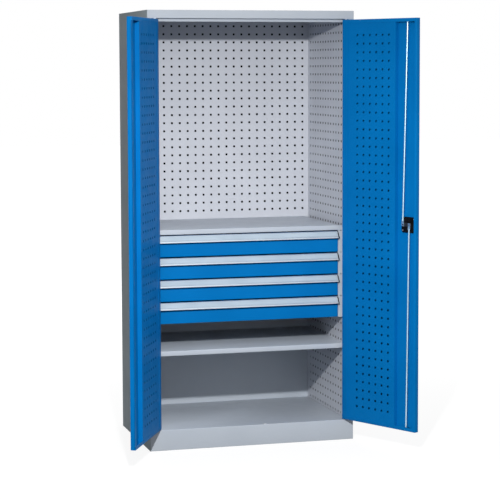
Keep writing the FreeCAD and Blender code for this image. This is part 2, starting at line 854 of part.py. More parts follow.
on_door("right", lock_case())
on_door("right", lock_cam())
on_door("right", rosette())
on_door("right", turn_handle())
on_door("right", key_cylinder())
on_door("right", rod_guides())
spindle_length = cam_back - handle_back
on_door("right", cylinder("lock_spindle", s.spindle_radius, spindle_length, lock_x, handle_back, lock_z, along_y))
upper_rod, upper_seat = lock_rod("upper_lock_rod", lock_x + s.cam_radius, leaf_top - s.rod_tip_inset)
lower_rod, lower_seat = lock_rod("lower_lock_rod", lock_x - s.cam_radius, leaf_bottom + s.rod_tip_inset)
on_door("right", upper_rod)
on_door("right", lower_rod)

# Final places: rods leaned to their guides, both doors swung open about their pins

doc.recompute()
upper_rod.Placement = upper_seat
lower_rod.Placement = lower_seat
for side, hand in hands.items():
    pivot = FreeCAD.Vector(hinge_x.value * hand, hinge_y.value, 0)
    turn = FreeCAD.Rotation(FreeCAD.Vector(0, 0, 1), s.door_open_angle.value * hand)
    swing = FreeCAD.Placement(FreeCAD.Vector(), turn, pivot)
    for piece in door_pieces[side]:
        piece.Placement = swing * piece.Placement

# Checks before anything is written

for item in doc.Objects:
    if "Invalid" in item.State or "Error" in item.State:
        raise RuntimeError(f"{item.Label} failed: {item.State}")
    if item.isDerivedFrom("PartDesign::Pocket") and item.Shape.Volume >= item.BaseFeature.Shape.Volume:
        raise RuntimeError(f"{item.Label} cuts nothing")
for piece in nodes:
    if piece.Shape.isNull() or not piece.Shape.isValid():
        raise RuntimeError(f"{piece.Label} has no valid shape")

os.makedirs("parts", exist_ok=True)
for piece in nodes:
    piece.Shape.exportStep(f"parts/{piece.Label}.step")
print(len(nodes), "sub-parts written")
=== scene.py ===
import json
import math

import bpy
from mathutils import Matrix, Vector


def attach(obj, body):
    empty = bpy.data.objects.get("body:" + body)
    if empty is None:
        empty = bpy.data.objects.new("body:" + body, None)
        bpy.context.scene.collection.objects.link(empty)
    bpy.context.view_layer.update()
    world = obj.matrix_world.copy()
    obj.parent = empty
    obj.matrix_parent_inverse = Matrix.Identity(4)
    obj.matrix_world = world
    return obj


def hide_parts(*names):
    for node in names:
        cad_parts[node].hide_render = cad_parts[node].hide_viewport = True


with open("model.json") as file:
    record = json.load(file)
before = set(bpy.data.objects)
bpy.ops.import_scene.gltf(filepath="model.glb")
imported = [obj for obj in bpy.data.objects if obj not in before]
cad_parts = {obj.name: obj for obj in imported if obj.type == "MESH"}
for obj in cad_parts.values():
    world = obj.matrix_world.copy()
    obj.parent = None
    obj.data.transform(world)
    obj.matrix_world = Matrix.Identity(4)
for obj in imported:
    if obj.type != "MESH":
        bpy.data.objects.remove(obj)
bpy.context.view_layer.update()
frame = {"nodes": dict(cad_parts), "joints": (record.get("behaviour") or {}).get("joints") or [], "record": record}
nodes = frame["nodes"]
bodies = frame["record"]["behaviour"]["bodies"]
bodyOf = {nodeName: body for body, members in bodies.items() for nodeName in members}
slotOf = {part["node"]: part["material_slot"] for part in frame["record"]["subparts"]}
slotOf["handle_rosette"] = "chrome"  # plated here, though the record has it in plastic
hinges = {joint["child"]: joint for joint in frame["joints"] if joint["name"].endswith("door_hinge")}
mm = 0.001
fineDigits = 5  # of a length in metres, so to a hundredth of a millimetre
mergeGap = 0.01 * mm  # corners closer than this become one
nearBy = 0.05 * mm  # counts as lying on a border
aligned = 0.99  # cosine past which a face points along an axis
flatAngle = math.radians(1)  # faces that meet at less become one
creaseAngle = math.radians(35)  # sharper edges stay sharp in the shading
print("frame loaded,", len(nodes), "nodes")


# materials

noiseSpan = (0.3, 0.7)  # where most of a noise lies


def startMaterial(name):
    material = bpy.data.materials.new(name)
    material.use_nodes = True
    tree = material.node_tree
    shader = tree.nodes["Principled BSDF"]
    place = tree.nodes.new("ShaderNodeTexCoord")
    return material, tree, shader, place


def addNoise(tree, place, scale, detail, stretch=None):
    noise = tree.nodes.new("ShaderNodeTexNoise")
    noise.inputs["Scale"].default_value = scale
    noise.inputs["Detail"].default_value = detail
    source = place.outputs["Object"]
    if stretch:
        mapping = tree.nodes.new("ShaderNodeMapping")
        mapping.inputs["Scale"].default_value = stretch
        tree.links.new(source, mapping.inputs["Vector"])
        source = mapping.outputs["Vector"]
    tree.links.new(source, noise.inputs["Vector"])
    return noise.outputs["Fac"]


def addColour(tree, shader, source, look, span=(0.35, 0.65)):
    # blends the look's two colours by a noise or a spangle
    ramp = tree.nodes.new("ShaderNodeValToRGB")
    for element, position, colour in zip(ramp.color_ramp.elements, span, (look["low"], look["high"])):
        element.position = position
        element.color = (*colour, 1)
    tree.links.new(source, ramp.inputs["Fac"])
    tree.links.new(ramp.outputs["Color"], shader.inputs["Base Color"])


def addRange(tree, source, given, wanted):
    span = tree.nodes.new("ShaderNodeMapRange")
    span.inputs["From Min"].default_value, span.inputs["From Max"].default_value = given
    span.inputs["To Min"].default_value, span.inputs["To Max"].default_value = wanted
    tree.links.new(source, span.inputs["Value"])
    return span


def addRough(tree, shader, source, look):
    span = addRange(tree, source, noiseSpan, look["rough"])
    tree.links.new(span.outputs["Result"], shader.inputs["Roughness"])


def addBump(tree, shader, source, strength, distance):
    bump = tree.nodes.new("ShaderNodeBump")
    bump.inputs["Strength"].default_value = strength
    bump.inputs["Distance"].default_value = distance
    tree.links.new(source, bump.inputs["Height"])
    tree.links.new(bump.outputs["Normal"], shader.inputs["Normal"])


def powderCoat(name, look):
    # baked paint and matt plastic: faint clouds of colour, rubbed patches and a fine orange peel
    material, tree, shader, place = startMaterial(name)
    cloud = addNoise(tree, place, look["cloudScale"], detail=3)
    addColour(tree, shader, cloud, look)
    rub = addNoise(tree, place, look["rubScale"], detail=5)
    addRough(tree, shader, rub, look)
    peel = addNoise(tree, place, look["peelScale"], detail=2)
    addBump(tree, shader, peel, look["peel"], look["peelDepth"])
    shader.inputs["Specular IOR Level"].default_value = look["gloss"]
    return material


def drawnMetal(name, look):
    # bare or plated metal: fine lines along the axis of the smallest stretch, or an even grain
    material, tree, shader, place = startMaterial(name)
    lines = addNoise(tree, place, look["lineScale"], detail=4, stretch=look["stretch"])
    addColour(tree, shader, lines, look)
    smear = addNoise(tree, place, look["smearScale"], detail=3)
    addRough(tree, shader, smear, look)
    addBump(tree, shader, lines, look["line"], look["lineDepth"])
    shader.inputs["Metallic"].default_value = look["metal"]
    return material


def zincPlate(name, look):
    # spangled plating
    material, tree, shader, place = startMaterial(name)
    spangle = tree.nodes.new("ShaderNodeTexVoronoi")
    spangle.inputs["Scale"].default_value = look["spangleScale"]
    tree.links.new(place.outputs["Object"], spangle.inputs["Vector"])
    addColour(tree, shader, spangle.outputs["Color"], look, span=(0, 1))
    haze = addNoise(tree, place, look["hazeScale"], detail=4)
    addRough(tree, shader, haze, look)
    addBump(tree, shader, haze, look["haze"], look["hazeDepth"])
    shader.inputs["Metallic"].default_value = look["metal"]
    return material


greyCoat = {"low": (0.420, 0.461, 0.515), "high": (0.450, 0.491, 0.545), "cloudScale": 4, "rubScale": 22,
            "rough": (0.36, 0.46), "peelScale": 420, "peel": 0.10, "peelDepth": 0.0004, "gloss": 0.34}
# outer side walls: a darker, greener copy of the grey paint, painted shade, in a matt low-gloss coat
shadedGreyCoat = {**greyCoat, "low": (0.318, 0.374, 0.410), "high": (0.346, 0.402, 0.438),
             "rough": (0.58, 0.68), "gloss": 0.05}
# back and inner perforated sheets: a lighter copy of the grey paint, painted light
litGreyCoat = {**greyCoat, "low": (0.535, 0.555, 0.605), "high": (0.565, 0.585, 0.635)}
blueCoat = {"low": (0.0002, 0.146, 0.426), "high": (0.0006, 0.160, 0.460), "cloudScale": 5, "rubScale": 24,
            "rough": (0.42, 0.52), "peelScale": 420, "peel": 0.10, "peelDepth": 0.0004, "gloss": 0.05}
blackMould = {"low": (0.0025, 0.0025, 0.003), "high": (0.006, 0.006, 0.007), "cloudScale": 60,
              "rubScale": 90, "rough": (0.38, 0.55), "peelScale": 1400, "peel": 0.25, "peelDepth": 0.0002,
              "gloss": 0.05}
# near-black painted shade for the boards in the cavities behind the perforated sheets
cavityShade = {"low": (0.008, 0.009, 0.010), "high": (0.016, 0.017, 0.018), "cloudScale": 30, "rubScale": 60,
             "rough": (0.75, 0.9), "peelScale": 900, "peel": 0.2, "peelDepth": 0.0004, "gloss": 0.1}
stripCard = {"low": (0.37, 0.45, 0.52), "high": (0.42, 0.50, 0.57), "cloudScale": 9, "rubScale": 40,
             "rough": (0.30, 0.42), "peelScale": 700, "peel": 0.05, "peelDepth": 0.0002, "gloss": 0.3}
# near-black walls of the punched holes and cut sheet edges: painted shade, so that the holes read dark
holeShadeGrey = {"low": (0.020, 0.022, 0.025), "high": (0.045, 0.048, 0.052), "cloudScale": 80, "rubScale": 120,
            "rough": (0.5, 0.7), "peelScale": 1500, "peel": 0.1, "peelDepth": 0.0002, "gloss": 0.15}
holeShadeBlue = {**holeShadeGrey, "low": (0.0003, 0.030, 0.090), "high": (0.0006, 0.045, 0.130), "gloss": 0.05}
gripMetal = {"low": (0.44, 0.51, 0.57), "high": (0.53, 0.60, 0.67), "lineScale": 1,
             "stretch": (6, 900, 900), "smearScale": 18, "rough": (0.36, 0.48), "line": 0.08,
             "lineDepth": 0.0003, "metal": 0.45}
chromePlate = {"low": (0.74, 0.75, 0.77), "high": (0.82, 0.83, 0.85), "lineScale": 1,
               "stretch": (240, 240, 240), "smearScale": 60, "rough": (0.10, 0.22), "line": 0.02,
               "lineDepth": 0.0002, "metal": 1.0}
zincRod = {"low": (0.40, 0.46, 0.53), "high": (0.56, 0.62, 0.70), "spangleScale": 140, "hazeScale": 300,
           "rough": (0.26, 0.42), "haze": 0.08, "hazeDepth": 0.0003, "metal": 0.9}
# zinc with a bluish tint, for the lock rods
bluishZinc = {**zincRod, "low": (0.44, 0.64, 0.78), "high": (0.54, 0.76, 0.90)}
# near-black steel, for the lock cam
darkSteel = {**zincRod, "low": (0.030, 0.032, 0.036), "high": (0.060, 0.064, 0.070), "metal": 0.6}

finishes = {
    "grey_paint": powderCoat("greyPowderCoat", greyCoat),
    "blue_paint": powderCoat("bluePowderCoat", blueCoat),
    "black_plastic": powderCoat("blackMouldedPlastic", blackMould),
    "grip_grey": drawnMetal("drawnAluminium", gripMetal),
    "chrome": drawnMetal("chromePlate", chromePlate),
    "zinc": zincPlate("zincPlate", zincRod),
}
# hole walls and cut edges of the perforated sheets, painted shade
holeShadeFinishes = {
    "grey_paint": powderCoat("greyHoleWallPaintedShade", holeShadeGrey),
    "blue_paint": powderCoat("blueHoleWallPaintedShade", holeShadeBlue),
}
stripFinish = powderCoat("paleStripPlastic", stripCard)
cavityShadeFinish = powderCoat("cavityShade", cavityShade)
paintedShadeFinish = powderCoat("greyCoatPaintedShade", shadedGreyCoat)
paintedLightFinish = powderCoat("greyCoatPaintedLight", litGreyCoat)
rodFinish = zincPlate("bluishZincPlate", bluishZinc)
nodeFinishes = {
    "left_side_wall": paintedShadeFinish,
    "right_side_wall": paintedShadeFinish,
    "perforated_back": paintedLightFinish,
    "left_perforated_side": paintedLightFinish,
    "right_perforated_side": paintedLightFinish,
    "upper_lock_rod": rodFinish,
    "lower_lock_rod": rodFinish,
    "lock_cam": zincPlate("darkCamSteel", darkSteel),
}


def finishOf(nodeName):
    return nodeFinishes.get(nodeName) or finishes[slotOf[nodeName]]


print("materials made")


# places taken from the frame

def doorSwing(body):
    # turns a shut door to its place at rest, and leaves other bodies alone
    if body not in hinges:
        return Matrix.Identity(4)
    hinge = hinges[body]
    pivot = Matrix.Translation(hinge["pos_m"])
    opening = math.radians(-hinge["range_deg"][0])
    return pivot @ Matrix.Rotation(opening, 4, Vector(hinge["axis"])) @ pivot.inverted()


def shutBox(nodeName):
    # lowest and highest corner of a node with the doors shut
    shut = doorSwing(bodyOf[nodeName]).inverted()
    points = [shut @ vertex.co for vertex in nodes[nodeName].data.vertices]
    low = Vector([round(min(point[axis] for point in points), fineDigits) for axis in range(3)])
    high = Vector([round(max(point[axis] for point in points), fineDigits) for axis in range(3)])
    return low, high


# picking, shaping and finishing

def pickOnly(piece):
    bpy.ops.object.select_all(action="DESELECT")
    piece.select_set(True)
    bpy.context.view_layer.objects.active = piece


def pickParts(piece, kind, wanted):
    # goes to edit mode with just these vertices, edges or faces selected
    bpy.ops.object.mode_set(mode="EDIT")
    bpy.ops.mesh.select_mode(type=kind)
    bpy.ops.mesh.select_all(action="DESELECT")
    bpy.ops.object.mode_set(mode="OBJECT")
    parts = {"VERT": piece.data.vertices, "EDGE": piece.data.edges, "FACE": piece.data.polygons}[kind]
    for index in wanted:
        parts[index].select = True
    bpy.ops.object.mode_set(mode="EDIT")


def edgesWhere(piece, test):
    # indices of the edges whose ends both pass the test
    corners = piece.data.vertices
    return [edge.index for edge in piece.data.edges if all(test(corners[end].co) for end in edge.vertices)]


def facesBeside(mesh):
    # the faces that meet at each edge
    beside = {}
    for face in mesh.polygons:
        for key in face.edge_keys:
            beside.setdefault(key, []).append(face)
    return beside


def startBox(name, low, high):
    bpy.ops.object.select_all(action="DESELECT")
    bpy.ops.mesh.primitive_cube_add(size=1, location=(low + high) / 2)
    piece = bpy.context.object
    piece.name = name
    piece.scale = high - low
    bpy.ops.object.transform_apply(location=True, rotation=True, scale=True)
    return piece


def applyPlace(piece, place):
    pickOnly(piece)
    piece.matrix_world = place
    bpy.ops.object.transform_apply(location=True, rotation=True, scale=True)


def addWall(piece, thick, rimSlot=0):
    # gives a sheet its thickness, behind its face
    wall = piece.modifiers.new("sheet", "SOLIDIFY")
    wall.thickness = thick
    wall.offset = -1
    wall.use_even_offset = True
    wall.material_offset_rim = rimSlot
    bpy.ops.object.modifier_apply(modifier=wall.name)


def smoothPiece(piece):
    pickOnly(piece)
    bpy.ops.object.shade_smooth_by_angle(angle=creaseAngle)


def paint(piece, *materials):
    piece.data.materials.clear()
    for material in materials:
        piece.data.materials.append(material)


def finishPiece(piece, body, slot, *replaced):
    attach(piece, body)
    if replaced:
        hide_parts(*replaced)


def standFor(nodeName, piece):
    finishPiece(piece, bodyOf[nodeName], slotOf[nodeName], nodeName)


# folded sheet with real bend radii, from the plain solid

bend = {"narrow": 3, "shallow": 0.5, "steps": 3}  # a narrower face is a cut edge, a larger cosine no bend
bendRadii = {  # outside and inside
    "roof_tray": (2.0, 0.8),
    "floor_tray": (2.0, 0.8),
    "left_side_wall": (2.0, 0.8),
    "right_side_wall": (2.0, 0.8),
    "lower_shelf": (2.0, 0.8),
    "drawer_block_top": (2.0, 0.8),
    "drawer_block_left_wall": (1.6, 0.5),
    "drawer_block_right_wall": (1.6, 0.5),
    "left_door_skin": (1.25, 0),  # the pivot holes touch the inside bend
    "right_door_skin": (1.25, 0),
}


def copyOf(nodeName, pieceName):
    piece = bpy.data.objects.new(pieceName, nodes[nodeName].data.copy())
    bpy.context.scene.collection.objects.link(piece)
    pickOnly(piece)
    if piece.data.has_custom_normals:
        bpy.ops.mesh.customdata_custom_splitnormals_clear()
    bpy.ops.object.mode_set(mode="EDIT")
    bpy.ops.mesh.select_all(action="SELECT")
    bpy.ops.mesh.remove_doubles(threshold=mergeGap)
    bpy.ops.mesh.dissolve_limited(angle_limit=flatAngle)
    bpy.ops.object.mode_set(mode="OBJECT")
    return piece


def bendEdges(piece, outside):
    # edges between two wide faces, at the outside or the inside of a bend
    mesh = piece.data
    width = {}
    for face in mesh.polygons:
        longest = max((mesh.vertices[a].co - mesh.vertices[b].co).length for a, b in face.edge_keys)
        width[face.index] = face.area / longest
    beside = facesBeside(mesh)
    found = []
    for edge in mesh.edges:
        pair = beside.get(edge.key, [])
        if len(pair) != 2 or min(width[face.index] for face in pair) < bend["narrow"] * mm:
            continue
        if pair[0].normal.dot(pair[1].normal) > bend["shallow"]:
            continue
        convex = (pair[1].center - pair[0].center).dot(pair[0].normal) < 0
        if convex == outside:
            found.append(edge.index)
    return found


def roundBends(piece, outer, inner):
    for outside, radius in ((True, outer), (False, inner)):
        if not radius:
            continue
        pickParts(piece, "EDGE", bendEdges(piece, outside))
        bpy.ops.mesh.bevel(offset=radius * mm, segments=bend["steps"], affect="EDGES", clamp_overlap=True,
                           loop_slide=False)
        bpy.ops.object.mode_set(mode="OBJECT")
    smoothPiece(piece)


for nodeName, (outer, inner) in bendRadii.items():
    piece = copyOf(nodeName, nodeName + "_folded")
    roundBends(piece, outer, inner)
    paint(piece, finishOf(nodeName))
    standFor(nodeName, piece)
print("folded sheets rounded")


# moulded, drawn and stamped pieces with softened edges

softEdges = {  # radius and steps
    "lock_case": (1.2, 2),
    "rod_guides": (0.8, 2),
    "handle_rosette": (1.6, 3),
    "turn_handle": (2.4, 3),
    "key_cylinder": (0.4, 2),
    "left_door_pivot_blocks": (0.7, 2),
    "right_door_pivot_blocks": (0.7, 2),
    "left_door_overlap_strip": (0.3, 1),
    "anchor_brackets": (0.5, 1),
    "shelf_clips": (0.3, 1),
}
gripBar = {"edge": 0.25, "short": 3}  # shorter at each end, to make room for the caps, which also paint the shadow gap at the grip ends
leastCorner = math.radians(30)  # flatter edges are facets of a curve
drawers = [body for body in bodies if body + "_front" in nodes]


def softenEdges(piece, radius, steps=1):
    found = []
    beside = facesBeside(piece.data)
    for edge in piece.data.edges:
        pair = beside.get(edge.key, [])
        if len(pair) == 2 and pair[0].normal.angle(pair[1].normal, 0) > leastCorner:
            found.append(edge.index)
    pickParts(piece, "EDGE", found)
    bpy.ops.mesh.bevel(offset=radius * mm, segments=steps, affect="EDGES", clamp_overlap=True)
    bpy.ops.object.mode_set(mode="OBJECT")
    smoothPiece(piece)


def drawerGrip(drawer):
    nodeName = drawer + "_grip"
    piece = copyOf(nodeName, nodeName + "_soft")
    softenEdges(piece, gripBar["edge"])
    reach = shutBox(nodeName)[1].x
    piece.scale.x = 1 - gripBar["short"] * mm / reach
    bpy.ops.object.transform_apply(location=True, rotation=True, scale=True)
    paint(piece, finishOf(nodeName))
    standFor(nodeName, piece)


for nodeName, (radius, steps) in softEdges.items():
    piece = copyOf(nodeName, nodeName + "_soft")
    softenEdges(piece, radius, steps)
    paint(piece, finishOf(nodeName))
    standFor(nodeName, piece)
for drawer in drawers:
    drawerGrip(drawer)
print("edges softened")


# perforated sheets: one cell is modelled and arrayed, then margins, flanges and thickness are added

sheetCell = {"pitch": 38, "hole": 10, "corner": 2.6, "cornerSteps": 2, "sheet": 1.2}
borders = {"left": (0, -1), "right": (0, 1), "bottom": (1, -1), "top": (1, 1)}  # axis and direction


def sheetGrid(columns, rows):
    # flat grid of square holes with rounded corners, with the first hole at the origin
    pitch = sheetCell["pitch"] * mm
    hole = sheetCell["hole"] * mm
    bpy.ops.object.select_all(action="DESELECT")
    bpy.ops.mesh.primitive_plane_add(size=pitch)
    piece = bpy.context.object
    bpy.ops.object.mode_set(mode="EDIT")
    bpy.ops.mesh.select_all(action="SELECT")
    bpy.ops.mesh.inset(thickness=(pitch - hole) / 2)
    bpy.ops.mesh.delete(type="FACE")
    bpy.ops.object.mode_set(mode="OBJECT")
    holeCorners = [corner.index for corner in piece.data.vertices
                   if max(abs(corner.co.x), abs(corner.co.y)) < hole]
    pickParts(piece, "VERT", holeCorners)
    bpy.ops.mesh.bevel(offset=sheetCell["corner"] * mm, segments=sheetCell["cornerSteps"],
                       affect="VERTICES")
    bpy.ops.object.mode_set(mode="OBJECT")
    for axis, count in ((0, columns), (1, rows)):
        array = piece.modifiers.new("repeat", "ARRAY")
        array.count = count
        array.use_relative_offset = False
        array.use_constant_offset = True
        array.constant_offset_displace = [pitch if axis == side else 0 for side in range(3)]
        array.use_merge_vertices = True
        array.merge_threshold = mergeGap * 2
        bpy.ops.object.modifier_apply(modifier=array.name)
    return piece


def growBorder(piece, border, step):
    # extrudes one straight border of a flat sheet
    axis, way = borders[border]
    limit = max(corner.co[axis] * way for corner in piece.data.vertices)
    pickParts(piece, "EDGE", edgesWhere(piece, lambda point: limit - point[axis] * way < nearBy))
    bpy.ops.mesh.extrude_region_move(TRANSFORM_OT_translate={"value": step})
    bpy.ops.object.mode_set(mode="OBJECT")


def faceForward(piece):
    # all normals one way, with the wide face towards the front of the sheet
    pickOnly(piece)
    bpy.ops.object.mode_set(mode="EDIT")
    bpy.ops.mesh.select_all(action="SELECT")
    bpy.ops.mesh.remove_doubles(threshold=mergeGap)
    bpy.ops.mesh.normals_make_consistent(inside=False)
    bpy.ops.object.mode_set(mode="OBJECT")
    widest = max(piece.data.polygons, key=lambda face: face.area * abs(face.normal.z))
    if widest.normal.z < 0:
        bpy.ops.object.mode_set(mode="EDIT")
        bpy.ops.mesh.flip_normals()
        bpy.ops.object.mode_set(mode="OBJECT")


def perforatedSheet(nodeName, look):
    # modelled flat with its face up, in the size of its node, and stood up at the end
    low, high = shutBox(nodeName)
    stand = Matrix.Rotation(math.radians(look["turn"]), 4, "Z") @ Matrix.Rotation(math.radians(90), 4, "X")
    width, height, depth = [round(abs(side), fineDigits) for side in stand.inverted() @ (high - low)]
    pitch = sheetCell["pitch"] * mm
    margins = {"left": look["left"] * mm, "top": look["top"] * mm}  # from the outer hole centres
    margins["right"] = width - (look["columns"] - 1) * pitch - margins["left"]
    margins["bottom"] = height - (look["rows"] - 1) * pitch - margins["top"]
    piece = sheetGrid(look["columns"], look["rows"])
    piece.name = nodeName + "_sheet"
    for border, (axis, way) in borders.items():
        step = Vector((0, 0, 0))
        step[axis] = way * (margins[border] - pitch / 2)
        growBorder(piece, border, step)
    for border in look["flanges"]:
        growBorder(piece, border, (0, 0, -depth))
    faceForward(piece)
    paint(piece, finishOf(nodeName), holeShadeFinishes[slotOf[nodeName]])
    # the hole walls and cut edges take the second finish, painted shade
    addWall(piece, sheetCell["sheet"] * mm, rimSlot=1)
    # the first hole is set out from the corner of the box that lies at the sheet's front and left
    across, front = stand.col[0].xyz, stand.col[2].xyz
    toCorner = front - across
    first = across * margins["left"] + Vector((0, 0, low.z + margins["bottom"]))
    first.x += high.x if toCorner.x > 0 else low.x
    first.y += high.y if toCorner.y > 0 else low.y
    applyPlace(piece, doorSwing(bodyOf[nodeName]) @ Matrix.Translation(first) @ stand)
    standFor(nodeName, piece)


# turn is away from facing the front, and left is as seen by someone who faces the sheet
backSheet = {"columns": 23, "rows": 24, "left": 29, "top": 55.8, "turn": 0, "flanges": ("bottom", "top")}
rightSheet = {"columns": 14, "rows": 48, "left": 51.8, "top": 55.8, "turn": -90,
              "flanges": ("left", "right")}
leftSheet = {**rightSheet, "left": 21.8, "turn": 90}
rightDoorSheet = {"columns": 6, "rows": 45, "left": 90.8, "top": 69.8, "turn": 180, "flanges": ("right",)}
leftDoorSheet = {**rightDoorSheet, "left": 38, "flanges": ("left",)}
perforatedSheet("perforated_back", backSheet)
perforatedSheet("right_perforated_side", rightSheet)
perforatedSheet("left_perforated_side", leftSheet)
perforatedSheet("right_door_perforated_panel", rightDoorSheet)
perforatedSheet("left_door_perforated_panel", leftDoorSheet)
print("perforated sheets made")


# thin board of painted shade in the cavity behind each perforated carcass sheet, so that the holes read dark

backBoard = {"lowInset": (7, 9.8, 7), "highInset": (7, 0.2, 8.8), "edge": 0.3}  # from the sheet's corners
rightBoard = {"lowInset": (24.6, 8, 8), "highInset": (0.2, 7.6, 8.8), "edge": 0.3}
leftBoard = {"lowInset": (0.2, 8, 8), "highInset": (24.6, 7.6, 8.8), "edge": 0.3}


def cavityBoard(name, sheetNode, look):
    low, high = shutBox(sheetNode)
    board = startBox(name, low + Vector(look["lowInset"]) * mm, high - Vector(look["highInset"]) * mm)
    bpy.ops.object.mode_set(mode="EDIT")
    bpy.ops.mesh.select_all(action="SELECT")
    bpy.ops.mesh.bevel(offset=look["edge"] * mm, segments=1, affect="EDGES")
    bpy.ops.object.mode_set(mode="OBJECT")
    paint(board, cavityShadeFinish)
    finishPiece(board, "cabinet", "black_plastic")


cavityBoard("back_cavity_board", "perforated_back", backBoard)
cavityBoard("right_cavity_board", "right_perforated_side", rightBoard)
cavityBoard("left_cavity_board", "left_perforated_side", leftBoard)
print("cavity boards set")


# drawer fronts folded from one sheet, with a plain strip in each grip and a black cap at each grip end, thick
# enough to paint the shadow gap there as well

frontSheet = {"bend": 1.8, "bendSteps": 3, "sheet": 1.2}
gripCapAndShade = {"inset": gripBar["short"], "thick": 4.4, "wall": 2.4, "nose": 4, "foot": 14, "edge": 0.25}
gripStrip = {"short": 5, "width": 22.2, "thick": 0.5, "edge": 0.12, "behind": 10.6, "below": 12.59,
             "lean": 52.98}


def drawerFront(drawer):
    nodeName = drawer + "_front"
    low, high = shutBox(nodeName)
    piece = startBox(nodeName + "_folded", low, high)
    openSides = [face.index for face in piece.data.polygons
                 if face.normal.y > aligned or abs(face.normal.x) > aligned]
    pickParts(piece, "FACE", openSides)
    bpy.ops.mesh.delete(type="FACE")
    bpy.ops.object.mode_set(mode="OBJECT")
    beside = facesBeside(piece.data)
    pickParts(piece, "EDGE", [edge.index for edge in piece.data.edges if len(beside[edge.key]) == 2])
    bpy.ops.mesh.bevel(offset=frontSheet["bend"] * mm, segments=frontSheet["bendSteps"], affect="EDGES")
    bpy.ops.object.mode_set(mode="OBJECT")
    addWall(piece, frontSheet["sheet"] * mm)
    smoothPiece(piece)
    paint(piece, finishOf(nodeName))
    standFor(nodeName, piece)


def plainStrip(drawer):
    low, high = shutBox(drawer + "_grip")
    half = Vector((high.x / mm - gripStrip["short"], gripStrip["width"] / 2, gripStrip["thick"] / 2)) * mm
    piece = startBox(drawer + "_grip_strip", -half, half)
    softenEdges(piece, gripStrip["edge"])
    middle = Matrix.Translation((0, low.y + gripStrip["behind"] * mm, high.z - gripStrip["below"] * mm))
    applyPlace(piece, middle @ Matrix.Rotation(math.radians(gripStrip["lean"]), 4, "X"))
    paint(piece, stripFinish)
    finishPiece(piece, drawer, "grip_grey")


# black end cap, made thick so that it also paints the dark shadow gap at the grip's end
def capAndShade(drawer, side, hand):
    low, high = shutBox(drawer + "_grip")
    wall, nose, foot = [gripCapAndShade[size] * mm for size in ("wall", "nose", "foot")]
    outline = ((high.y, high.z), (high.y - wall, high.z), (low.y, low.z + nose), (low.y, low.z),
               (low.y + wall, low.z), (high.y, high.z - foot))
    bpy.ops.object.select_all(action="DESELECT")
    bpy.ops.mesh.primitive_circle_add(vertices=len(outline), fill_type="NGON")
    piece = bpy.context.object
    piece.name = f"{drawer}_grip_cap_and_shade_{side}"
    for corner, (y, z) in zip(piece.data.vertices, outline):
        corner.co = ((high.x - gripCapAndShade["inset"] * mm) * hand, y, z)
    bpy.ops.object.mode_set(mode="EDIT")
    bpy.ops.mesh.select_all(action="SELECT")
    outwards = (gripCapAndShade["thick"] * hand * mm, 0, 0)
    bpy.ops.mesh.extrude_region_move(TRANSFORM_OT_translate={"value": outwards})
    bpy.ops.mesh.select_all(action="SELECT")
    bpy.ops.mesh.normals_make_consistent(inside=False)
    bpy.ops.object.mode_set(mode="OBJECT")
    softenEdges(piece, gripCapAndShade["edge"])
    paint(piece, finishes["black_plastic"])
    finishPiece(piece, drawer, "black_plastic")


for drawer in drawers:
    drawerFront(drawer)
    plainStrip(drawer)
    capAndShade(drawer, "right", 1)
    capAndShade(drawer, "left", -1)
print("drawer fronts dressed")


# screws and rivets: one head of each kind, copied with its own mesh

# left, right, side, end and foot are distances from the corners of what the heads sit on
caseScrew = {"sides": 14, "radius": 3.2, "height": 1.6, "dome": 0.7, "domeSteps": 2,
             "socket": 0.7, "socketDepth": 0.8, "left": 8.5, "right": 7, "end": 9}
guideScrew = {"sides": 12, "radius": 1.7, "height": 0.9, "dome": 0.4, "domeSteps": 2,
              "socket": 0.4, "socketDepth": 0.45, "side": 2, "end": 6}
rearRivet = {"sides": 14, "radius": 4.0, "height": 1.4, "dome": 0.9, "domeSteps": 2,
             "socket": 0, "side": 10, "foot": 70, "step": 302, "rows": 7}


def roundHead(look):
    height = look["height"] * mm
    bpy.ops.object.select_all(action="DESELECT")
    bpy.ops.mesh.primitive_cylinder_add(vertices=look["sides"], radius=look["radius"] * mm, depth=height,
                                        location=(0, 0, height / 2))
    head = bpy.context.object
    bpy.ops.object.transform_apply(location=True, rotation=True, scale=True)
    pickParts(head, "EDGE", edgesWhere(head, lambda point: point.z > height - nearBy))
    bpy.ops.mesh.bevel(offset=look["dome"] * mm, segments=look["domeSteps"], affect="EDGES")
    bpy.ops.object.mode_set(mode="OBJECT")
    if look["socket"]:
        pickParts(head, "FACE", [face.index for face in head.data.polygons if face.normal.z > aligned])
        bpy.ops.mesh.inset(thickness=look["socket"] * mm)
        inwards = (0, 0, -look["socketDepth"] * mm)
        bpy.ops.mesh.extrude_region_move(TRANSFORM_OT_translate={"value": inwards})
        bpy.ops.object.mode_set(mode="OBJECT")
    smoothPiece(head)
    return head


def setHeads(name, look, places, body):
    # every place is the foot of a head that points to the rear, with the doors shut
    master = roundHead(look)
    toRear = Matrix.Rotation(math.radians(-90), 4, "X")
    heads = []
    for place in places:
        head = bpy.data.objects.new(name, master.data.copy())
        bpy.context.scene.collection.objects.link(head)
        applyPlace(head, doorSwing(body) @ Matrix.Translation(place) @ toRear)
        heads.append(head)
    bpy.data.objects.remove(master)
    pickOnly(heads[0])
    for head in heads[1:]:
        head.select_set(True)
    bpy.ops.object.join()
    paint(heads[0], finishes["zinc"])
    finishPiece(heads[0], body, "zinc")


def casePlaces():
    low, high = shutBox("lock_case")
    left, right, end = [caseScrew[size] * mm for size in ("left", "right", "end")]
    return [(low.x + left, high.y, high.z - end), (high.x - right, high.y, low.z + end)]


def guidePlaces():
    low, high = shutBox("rod_guides")
    side, end = guideScrew["side"] * mm, guideScrew["end"] * mm
    return [(x, high.y, z) for x in (low.x + side, high.x - side) for z in (high.z - end, low.z + end)]


